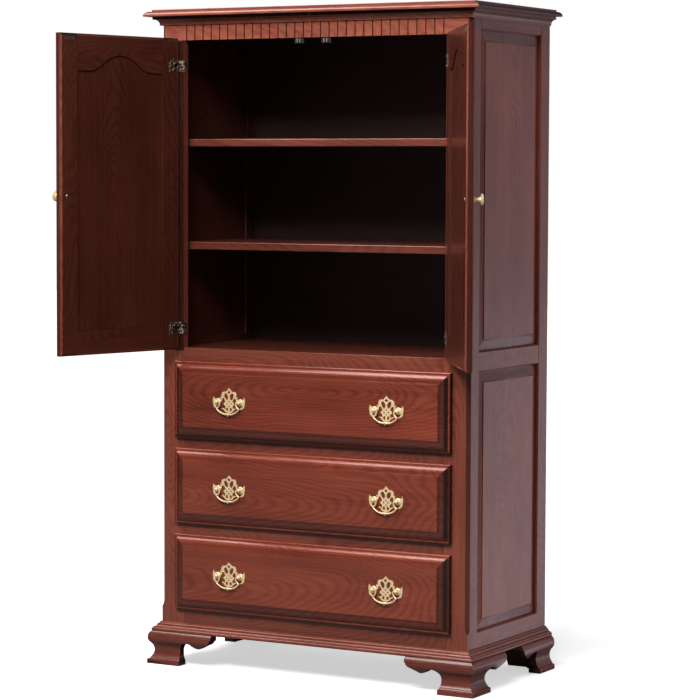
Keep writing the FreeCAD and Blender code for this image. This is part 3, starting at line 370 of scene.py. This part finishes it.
def growth_rings(tree, at, chance, bend):
    """Sine of the distance from the pith, from 0 to 1 and sharpened.

    The pith lies under the board, to a side of its middle, and slopes away along it, so that
    the rings run out on the face in arches.
    """
    number = partial(maths, tree)
    wander = spread(tree, bend, 0, 1, *PITH_WANDER)
    sideways = number("ADD", number("MULTIPLY_ADD", chance, PITH_SHIFT, at[1]), wander)
    sunk = number("MULTIPLY_ADD", number("ADD", at[0], chance), PITH_SLOPE, PITH_DEPTH)
    depth = number("ADD", number("ADD", at[2], sunk), wander)
    radius = number("SQRT", number("MULTIPLY_ADD", sideways, sideways,
                                   number("MULTIPLY", depth, depth)))
    wave = number("SINE", number("MULTIPLY", radius, RING_PITCH))
    return number("POWER", spread(tree, wave, -1, 1, 0, 1), RING_SHARPNESS)


def wood(name, stains, roughness, lacquer):
    """Stained wood with streaks, growth rings and pores that run along each board.

    Streaks are noise stretched along the board. The figure is a weighted sum of streaks, clouds,
    fine lines and rings, laid over the dark, middle and light stain. End grain soaks up more
    stain, convex edges are rubbed, and the face attribute darkened takes a share of the colour:
    painted shade where it is above 0, painted light where it is below.
    """
    material = bpy.data.materials.new(name)
    material.use_nodes = True
    tree = material.node_tree
    shader = tree.nodes["Principled BSDF"]
    number = partial(maths, tree)
    at, in_tree, tone, along = place_in_tree(tree)

    def noise(stretch, scale, detail, rough=0.55):
        stretched = wire(tree, "ShaderNodeMapping", {"Vector": in_tree, "Scale": stretch}).outputs[0]
        return wire(tree, "ShaderNodeTexNoise", {"Vector": stretched, "Scale": scale,
                                                 "Detail": detail, "Roughness": rough}).outputs["Fac"]

    streak = noise(stretch=(0.9, 60, 60), scale=1.3, detail=4, rough=0.6)
    cloud = noise(stretch=(1.6, 6.0, 6.0), scale=1.8, detail=2)
    chance = spread(tree, tone, 0, 1, -0.5, 0.5)
    figure = number("MULTIPLY_ADD", streak, STREAKS, number("MULTIPLY", cloud, CLOUDS))
    for part, weight in ((noise(stretch=(2.5, 260, 260), scale=1.2, detail=2), FINE_LINES),
                         (growth_rings(tree, at, chance, noise(stretch=(1.2, 3.0, 3.0), scale=1.3,
                                                               detail=2)), RINGS),
                         (chance, BOARDS)):
        figure = number("MULTIPLY_ADD", part, weight, figure)
    stain = wire(tree, "ShaderNodeValToRGB", {"Fac": spread(tree, figure, *FIGURE_SPAN, 0, 1)})
    dark, middle, light = ((*colour, 1) for colour in stains)
    ramp = stain.color_ramp
    ramp.elements[0].color = dark
    ramp.elements[1].color = light
    ramp.elements.new(0.5).color = middle

    pores = noise(stretch=(14, 900, 900), scale=1.0, detail=2)
    surface = wire(tree, "ShaderNodeNewGeometry").outputs
    facing = wire(tree, "ShaderNodeVectorTransform", {0: surface["Normal"]}, vector_type="NORMAL",
                  convert_from="WORLD", convert_to="OBJECT").outputs[0]
    end_grain = number("ABSOLUTE", vectors(tree, "DOT_PRODUCT", facing, along))
    darkened = wire(tree, "ShaderNodeAttribute", attribute_name="darkened").outputs["Fac"]
    shade = number("MULTIPLY", spread(tree, pores, *PORE_SPAN, *PORE_SHADE),
                   spread(tree, surface["Pointiness"], *RUB_SPAN, *RUB_SHADE))
    shade = number("MULTIPLY", shade, spread(tree, end_grain, *SOAK_SPAN, *SOAK_SHADE))
    shade = number("MULTIPLY", shade, number("SUBTRACT", 1.0, darkened))
    colour = wire(tree, "ShaderNodeVectorMath", {0: stain.outputs["Color"], "Scale": shade},
                  operation="SCALE").outputs[0]
    tree.links.new(colour, shader.inputs["Base Color"])

    smear = noise(stretch=(3, 9, 9), scale=6.0, detail=3)
    smooth, dull = (roughness + change for change in SMEAR)
    tree.links.new(spread(tree, smear, *SMEAR_SPAN, smooth, dull), shader.inputs["Roughness"])
    height = number("ADD", number("MULTIPLY", pores, PORE_RELIEF), streak)
    relief = wire(tree, "ShaderNodeBump", {**GRAIN_RELIEF, "Height": height})
    tree.links.new(relief.outputs[0], shader.inputs["Normal"])
    shader.inputs["IOR"].default_value = LACQUER_IOR
    shader.inputs["Coat Weight"].default_value = lacquer
    shader.inputs["Coat Roughness"].default_value = LACQUER_ROUGHNESS
    return material


def finish(pieces, material):
    """Give pieces their one material."""
    for piece in pieces:
        piece.data.materials.clear()
        piece.data.materials.append(material)


def darken(piece, facing, share):
    """Paint shade on the faces that look a given way, as a share of colour; below 0, paint light."""
    mesh = piece.data
    chosen = read(mesh.polygons, "normal", 3) @ np.array(facing) > FACING
    layer = mesh.attributes.get("darkened") or mesh.attributes.new("darkened", "FLOAT", "FACE")
    shares = np.where(chosen, share, read(layer.data, "value"))
    layer.data.foreach_set("value", shares.astype(np.float32))


cherry = wood("lacquered_cherry",
              stains=((0.105, 0.0220, 0.0135), (0.195, 0.0440, 0.0250),
                      (0.275, 0.0720, 0.0390)), roughness=0.30, lacquer=0.15)
# A lighter copy of the cherry for the frieze: partly a lighter board, partly painted light where the
# overhang of the crown shades the frieze from the lamps.
frieze_cherry_painted_light = wood("lighter_frieze_cherry",
                   stains=((0.150, 0.0340, 0.0210), (0.270, 0.0680, 0.0390),
                           (0.370, 0.1060, 0.0580)), roughness=0.30, lacquer=0.15)
PAINTED_DOOR_SHADE = 0.84                   # painted shade of the open left door on its stile, where the door shuts over it
# Painted shade on the chamfer of the right stile.
CHAMFER_FACING = (0.707, -0.707, 0)
CHAMFER_PAINTED_SHADE = 0.45
RAIL_PAINTED_SHADE = 0.15
DOOR_FOOT = 0.93                    # height of the lower ends of the doors
DOOR_EDGE = -0.5306                 # where the left door's outer edge comes when it is shut


def paint_open_door_shade(piece, share):
    """Cut the faces round the shut left door and paint the open door's shade on the front ones it shuts
    over.
    """
    work = bmesh.new()
    work.from_mesh(piece.data)
    for corner, across in (((0, 0, DOOR_FOOT), (0, 0, 1)), ((DOOR_EDGE, 0, 0), (1, 0, 0))):
        bmesh.ops.bisect_plane(work, geom=work.verts[:] + work.edges[:] + work.faces[:],
                               plane_co=corner, plane_no=across, dist=1e-6)
    layers = work.faces.layers.float
    darkened = layers.get("darkened") or layers.new("darkened")
    for face in work.faces:
        middle = face.calc_center_median()
        if face.normal.y < -FACING and middle.z > DOOR_FOOT and middle.x > DOOR_EDGE:
            face[darkened] = share
    work.to_mesh(piece.data)
    work.free()


left_stile = eased("left_face_stile", "left_front_stile")
right_stile = eased("right_face_stile", "right_front_stile")
paint_open_door_shade(left_stile, PAINTED_DOOR_SHADE)
darken(right_stile, CHAMFER_FACING, CHAMFER_PAINTED_SHADE)
cross_rails = [eased("drawer_rails", "rails_between_drawers"),
               eased("bottom_rail", "rail_over_plinth"), eased("tv_rail", "rail_under_doors")]
# Painted shade on the fronts of the cross rails, which lie back beside the proud drawer fronts.
for rail in cross_rails:
    darken(rail, (0, -1, 0), RAIL_PAINTED_SHADE)
finish([left_stile, right_stile] + cross_rails, cherry)
finish([eased("dentil_rail", "dentil_frieze", ease=0.0003)], frieze_cherry_painted_light)

# ==== Sides ======================================================================================
# Each side is two stiles and three rails round two raised panels, tongued into grooves and free
# to move; the panel openings have a small bevel worked on them.

# Painted shade on the faces inside the case, and a painted sheen that lightens the faces outside.
SIDE_INNER_PAINTED_SHADE = 0.72
SIDE_OUTER_PAINTED_SHEEN = -0.40

for side, outward in (("left", -1), ("right", 1)):
    members = [eased(side + "_side_frame", side + "_side_stiles_and_rails", whole_flats=False),
               eased(side + "_side_panels", side + "_side_raised_panels", ease=0.0004,
                     whole_flats=False)]
    for member in members:
        darken(member, (-outward, 0, 0), SIDE_INNER_PAINTED_SHADE)
        darken(member, (outward, 0, 0), SIDE_OUTER_PAINTED_SHEEN)
    finish(members, cherry)

# ==== Top, crown and base mouldings ==============================================================
# The top board has a nosing and an ovolo; a bed moulding with mitred returns closes the corner
# under it, and a cove and nose moulding runs round the foot of the case.

finish([eased("top_board", "moulded_top", ease=0.0006), eased("crown_moulding", "bed_moulding"),
        eased("base_moulding", "plinth_moulding", ease=0.0006)], cherry)

# ==== Feet =======================================================================================
# Ogee bracket feet: two shaped brackets mitred at each front corner, one bracket and a plain
# brace behind. Their wood is darker than the case's.

dark_cherry = wood("darker_foot_cherry",
                   stains=((0.078, 0.0155, 0.0100), (0.150, 0.0330, 0.0200),
                           (0.215, 0.0560, 0.0320)), roughness=0.28, lacquer=0.2)
finish([eased(end + "_foot", end + "_bracket_foot", ease=0.0007)
        for end in ("front_left", "front_right", "back_left", "back_right")], dark_cherry)

# ==== Inside the case ============================================================================
# Boards behind the face frame: the television floor and two loose shelves with eased noses, in
# cherry with painted shade; thin backs, the case's floor, drawer runners and the feet's glue
# blocks in plainly sealed wood, its colour painted near black as the shade inside the case.

# Painted shade on the faces and noses of the shelves and the television floor.
SHELF_FACE_PAINTED_SHADE = 0.5
SHELF_NOSE_PAINTED_SHADE = 0.35

# Sealed wood with painted shade: near black, as the shade inside and under the case.
sealed = wood("sealed_wood_painted_shade",
              stains=((0.017, 0.0046, 0.0042), (0.028, 0.0078, 0.0070),
                      (0.042, 0.0130, 0.0110)), roughness=0.46, lacquer=0.0)
boards = [eased("tv_floor", "television_floor"),
          eased("upper_shelf", "upper_loose_shelf", ease=0.0004),
          eased("lower_shelf", "lower_loose_shelf", ease=0.0004)]
for board in boards:
    darken(board, (0, 0, 1), SHELF_FACE_PAINTED_SHADE)
    darken(board, (0, 0, -1), SHELF_FACE_PAINTED_SHADE)
    darken(board, (0, -1, 0), SHELF_NOSE_PAINTED_SHADE)
finish(boards, cherry)
finish([eased("upper_back_panel", "upper_back", ease=0.0003),
        eased("lower_back_panel", "lower_back", ease=0.0003),
        eased("case_bottom", "case_floor"), eased("drawer_runners", "runners_and_guides"),
        eased("foot_glue_blocks", "glue_blocks", ease=0.001)], sealed)

# ==== Doors ======================================================================================
# Framed doors with an arched raised panel, flat inside and rounded over outside, each hung on
# two hinges let into its hinge stile. They stand open.

OPEN = {"left": -math.radians(103.1), "right": math.radians(124.0)}
# Inner faces and their bevel are darker: partly a darker stain inside, partly painted shade. The free
# edges and the tops carry painted shade.
DOOR_INNER_PAINTED_SHADE = 0.66
DOOR_EDGE_PAINTED_SHADE = 0.72
DOOR_TOP_PAINTED_SHADE = 0.70
BEVEL_LEAN = math.atan2(1, 2)       # slope of the small bevel round the inner face

for side, turn in OPEN.items():
    members = [eased(side + "_door_stiles", side + "_door_upright_members", ease=0.0004, turn=turn),
               eased(side + "_door_rails", side + "_door_cross_members", ease=0.0004, turn=turn),
               eased(side + "_door_panel", side + "_door_arched_panel", turn=turn)]
    outward = 1 if side == "left" else -1
    inner = np.array((-math.sin(turn), math.cos(turn), 0))
    for member in members:
        darken(member, inner, DOOR_INNER_PAINTED_SHADE)
        darken(member, (outward * math.cos(turn), outward * math.sin(turn), 0), DOOR_EDGE_PAINTED_SHADE)
        darken(member, (0, 0, 1), DOOR_TOP_PAINTED_SHADE)
        darken(member, inner * math.cos(BEVEL_LEAN) + (0, 0, math.sin(BEVEL_LEAN)), DOOR_INNER_PAINTED_SHADE)
    finish(members, cherry)

# ==== Drawers ====================================================================================
# A moulded front with a rounded lip, a swelling slope and a raised field, screwed to a
# dovetailed box of plain pale wood. Shade and a highlight are painted on the moulded border.

BORDER = 0.033                      # width of the moulded border round the raised field
PAINTED_HIGHLIGHT_STRIP = 0.0215               # of the upper border, from the lip in
LIP = 0.0085
# Painted shade on the lower and end slopes and the lip, a painted highlight on the upper slope.
PAINTED_SHADE_BELOW, PAINTED_SHADE_ENDS, PAINTED_SHADE_LIP = 0.50, 0.55, 0.74
PAINTED_HIGHLIGHT, PAINTED_SHADE_ABOVE = -0.30, 0.10

front_cherry = wood("matched_front_cherry",
                    stains=((0.098, 0.0160, 0.0090), (0.190, 0.0345, 0.0170),
                            (0.268, 0.0570, 0.0270)), roughness=0.28, lacquer=0.15)
maple = wood("drawer_box_maple", stains=((0.42, 0.27, 0.14), (0.56, 0.38, 0.21), (0.66, 0.48, 0.29)),
             roughness=0.42, lacquer=0.0)


def paint_border_shade(piece):
    """Paint shade on the moulded border below and at the ends, and a highlight along the top."""
    mesh = piece.data
    points = read(mesh.vertices, "co", 3)
    centre = read(mesh.polygons, "center", 3)
    low, high = points.min(0), points.max(0)
    below, above = centre[:, 2] - low[2], high[2] - centre[:, 2]
    ends = np.minimum(centre[:, 0] - low[0], high[0] - centre[:, 0])
    nearest = np.minimum(np.minimum(below, above), ends)
    upper = np.where(above < PAINTED_HIGHLIGHT_STRIP, PAINTED_HIGHLIGHT, PAINTED_SHADE_ABOVE)
    amount = np.where(nearest == above, upper, PAINTED_SHADE_BELOW)
    amount = np.where(nearest == ends, PAINTED_SHADE_ENDS, amount)
    amount = np.where((nearest < LIP) & (nearest != above), PAINTED_SHADE_LIP, amount)
    write_faces(mesh, "darkened", "FLOAT", "value", np.where(nearest < BORDER, amount, 0.0))


for name in ("top", "middle", "bottom"):
    front = eased(name + "_drawer_front", name + "_drawer_moulded_front")
    paint_border_shade(front)
    finish([front], front_cherry)
    finish([eased(name + "_drawer_box", name + "_drawer_dovetailed_box", ease=0.0002,
                  whole_flats=False)], maple)

# ==== Hinges, catches and steel fittings =========================================================
# Pressed hinge leaves with an antique plating, screwed to the stile and the door; magnetic
# catches with two steel poles in a moulded case; zinc-plated pins, bolts and strikes.

POLE_WIDTH = 0.006                  # the poles of a catch are narrower than this
STAIN_DULLS = 0.08                  # roughness that full staining adds
SCRATCHES = 700                     # per metre
SCRATCH_RELIEF = {"Strength": 0.06, "Distance": 0.0002}


def metal(name, colour, stain, roughness, plate=1.0, clouds=90, stained=(0.35, 0.75)):
    """Metal stained where a noise of that many clouds per metre is high, and finely scratched."""
    material = bpy.data.materials.new(name)
    material.use_nodes = True
    tree = material.node_tree
    shader = tree.nodes["Principled BSDF"]
    place = wire(tree, "ShaderNodeTexCoord").outputs["Object"]
    cloud = wire(tree, "ShaderNodeTexNoise",
                 {"Vector": place, "Scale": clouds, "Detail": 4}).outputs["Fac"]
    mixed = wire(tree, "ShaderNodeMix", {"Factor": spread(tree, cloud, *stained, 0, 1),
                                         6: (*colour, 1), 7: (*stain, 1)}, data_type="RGBA")
    tree.links.new(mixed.outputs[2], shader.inputs["Base Color"])
    tree.links.new(spread(tree, cloud, *SMEAR_SPAN, roughness, roughness + STAIN_DULLS),
                   shader.inputs["Roughness"])
    scratch = wire(tree, "ShaderNodeTexNoise",
                   {"Vector": place, "Scale": SCRATCHES, "Detail": 2}).outputs["Fac"]
    relief = wire(tree, "ShaderNodeBump", {**SCRATCH_RELIEF, "Height": scratch})
    tree.links.new(relief.outputs[0], shader.inputs["Normal"])
    shader.inputs["Metallic"].default_value = plate
    return material


plated = metal("antique_hinge_plate", colour=(0.52, 0.41, 0.30), stain=(0.022, 0.014, 0.009),
               roughness=0.30, plate=0.3, clouds=170, stained=(0.36, 0.50))
zinc = metal("zinc_plate", colour=(0.42, 0.40, 0.38), stain=(0.30, 0.28, 0.26), roughness=0.34)
pole = metal("bright_pole", colour=(0.40, 0.38, 0.36), stain=(0.30, 0.28, 0.26), roughness=0.30,
             plate=0.3)
cased = metal("brown_catch_case", colour=(0.014, 0.009, 0.007), stain=(0.010, 0.006, 0.005),
              roughness=0.45, plate=0.0)


def steel_poles(piece):
    """Give the narrow solids of the catches a bright metal of their own."""
    mesh = piece.data
    mesh.materials.append(pole)
    solid, low, high = board_boxes(mesh, np.eye(3))
    narrow = (high - low)[:, 0] < POLE_WIDTH
    mesh.polygons.foreach_set("material_index", narrow[solid].astype(np.int32))


finish([eased("hinge_arms", "hinge_frame_leaves", ease=0.0003),
        eased("left_door_hinge_cups", "left_hinge_leaves", ease=0.0003),
        eased("right_door_hinge_cups", "right_hinge_leaves", ease=0.0003)], plated)
catches = eased("magnetic_catches", "catch_cases", ease=0.0003)
finish([catches], cased)
steel_poles(catches)
finish([eased("shelf_pins", "steel_shelf_pins", ease=0.0003)], zinc)
for side in ("left", "right"):
    finish([eased(side + "_door_knob_screw", side + "_knob_bolt", ease=0.0002),
            eased(side + "_door_strike_plate", side + "_strike", ease=0.0002)], zinc)

# ==== Knobs and pulls ============================================================================
# Turned brass knobs bolted through the doors. On the drawers, pressed brass plates pierced into
# scrolls lie under turned ball posts, and cast swan-neck handles swing in the posts.

CASE_X, CASE_Y = -0.07064, 0.2299   # the middle of the case
PULL_X, PULL_Y = 0.260, -0.2825     # pivots of the handles, from the middle of the case
PULL_HEIGHTS = {"top": 0.78725, "middle": 0.5325, "bottom": 0.27825}
NECK_X, POST_X = 0.0296, 0.0381     # from the middle of a handle
NECK_TOP, NECK_WAIST = (NECK_X, 0.0016), (NECK_X - 0.0014, -0.0076)
ELBOW, HEEL = (NECK_X + 0.0026, -0.0144), (NECK_X + 0.0052, -0.0168)
SHOULDER, BOW_SIDE = (POST_X, -0.0184), (0.0218, -0.0312)
BOW_BOTTOM, DROP_TIP = -0.0342, -0.0414
BOW_RADIUS, BOW_SWELL = 0.0022, 0.0010
DROP_RADIUS, DROP_THINNING, DROP_CURVE = 0.0027, 0.0020, 1.4
NECK_STEPS, HEEL_STEPS, BOW_STEPS, DROP_RINGS = 12, 8, 24, 10
PIN_RADIUS, PIN_PAST_POST = 0.00155, 0.0020
CREASE = math.radians(50)

brass = metal("satin_brass", colour=(1.0, 0.80, 0.47), stain=(0.92, 0.68, 0.36), roughness=0.30,
              plate=0.35)


def arc(start, middle, end, steps):
    """Points of the circle through three points, without the last: centre + r (cos t, sin t)."""
    a, b, c = (np.array(point) for point in (start, middle, end))
    sides = 2 * np.array([b - a, c - a])
    centre = np.linalg.solve(sides, [b @ b - a @ a, c @ c - a @ a])
    first, last = (np.arctan2(*(point - centre)[::-1]) for point in (a, c))
    turn = np.cross(b - a, c - a)
    sweep = (last - first) % (2 * math.pi) if turn > 0 else -((first - last) % (2 * math.pi))
    t = first + sweep * np.arange(steps) / steps
    return centre + np.linalg.norm(a - centre) * np.stack((np.cos(t), np.sin(t)), 1)


def swept(line, radius, around=16):
    """Vertices and faces of a round bar: line(s) + radius(s) (cos t n + sin t y), ends closed."""
    along = np.gradient(line, axis=0)
    along /= np.linalg.norm(along, axis=1, keepdims=True)
    across = np.stack((along[:, 1], 0 * along[:, 0], -along[:, 0]), 1)
    t = 2 * math.pi * np.arange(around) / around
    centre = np.stack((line[:, 0], 0 * line[:, 0], line[:, 1]), 1)
    ring = np.cos(t)[None, :, None] * across[:, None] + np.sin(t)[None, :, None] * np.array([0, 1, 0])
    points = (centre[:, None] + np.asarray(radius)[:, None, None] * ring).reshape(-1, 3)
    i, j = np.meshgrid(np.arange(len(line) - 1), np.arange(around), indexing="ij")
    k = (j + 1) % around
    quads = np.stack((i * around + j, i * around + k, (i + 1) * around + k, (i + 1) * around + j), -1)
    ends = np.array((np.arange(around)[::-1], np.arange(len(points) - around, len(points))))
    return points, quads.reshape(-1, 4), ends


def swan_neck(node, name, place):
    """Bow, drop and pins of a handle, as four round bars that hang from the pivot line.

    The bow is three arcs a side, and is thickest in its middle; the drop thins to its tip.
    """
    half = np.concatenate((arc(NECK_TOP, NECK_WAIST, ELBOW, NECK_STEPS),
                           arc(ELBOW, HEEL, SHOULDER, HEEL_STEPS),
                           arc(SHOULDER, BOW_SIDE, (0, BOW_BOTTOM), BOW_STEPS)))
    bow = np.concatenate((half, [(0, BOW_BOTTOM)], half[::-1] * (-1, 1)))
    swell = BOW_RADIUS + BOW_SWELL * np.maximum(0, 1 - np.abs(bow[:, 0]) / NECK_X) ** 2
    fall = np.linspace(0, 1, DROP_RINGS)
    drop = np.stack((0 * fall, BOW_BOTTOM + (DROP_TIP - BOW_BOTTOM) * fall), 1)
    pin = np.array([(NECK_X, 0), (POST_X + PIN_PAST_POST, 0)])
    pin_radii = [PIN_RADIUS, PIN_RADIUS]
    bars = [swept(bow, swell), swept(drop, DROP_RADIUS - DROP_THINNING * fall ** DROP_CURVE),
            swept(pin, pin_radii), swept(pin * (-1, 1), pin_radii)]
    points, faces, count = [], [], 0
    for corners, quads, ends in bars:
        points.append(corners)
        faces += (quads + count).tolist() + (ends + count).tolist()
        count += len(corners)
    mesh = bpy.data.meshes.new(name)
    mesh.from_pydata((np.concatenate(points) + place).tolist(), [], faces)
    work = bmesh.new()
    work.from_mesh(mesh)
    bmesh.ops.recalc_face_normals(work, faces=work.faces)
    work.to_mesh(mesh)
    work.free()
    mesh.shade_smooth()
    mesh.set_sharp_from_angle(angle=CREASE)
    piece = bpy.data.objects.new(name, mesh)
    scene.collection.objects.link(piece)
    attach(piece, frame["nodes"][node]["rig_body"])
    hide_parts(node)
    return piece


finish([eased(side + "_door_knob", side + "_turned_knob", ease=0.0004)
        for side in ("left", "right")], brass)
for name, height in PULL_HEIGHTS.items():
    finish([eased(name + "_drawer_pull_plates", name + "_pierced_plates", ease=0.0004),
            eased(name + "_drawer_pull_posts", name + "_ball_posts", ease=0.0002)], brass)
    for side, sign in (("left", -1), ("right", 1)):
        finish([swan_neck(name + "_drawer_" + side + "_bail", name + "_" + side + "_handle",
                          (CASE_X + sign * PULL_X, CASE_Y + PULL_Y, height))], brass)
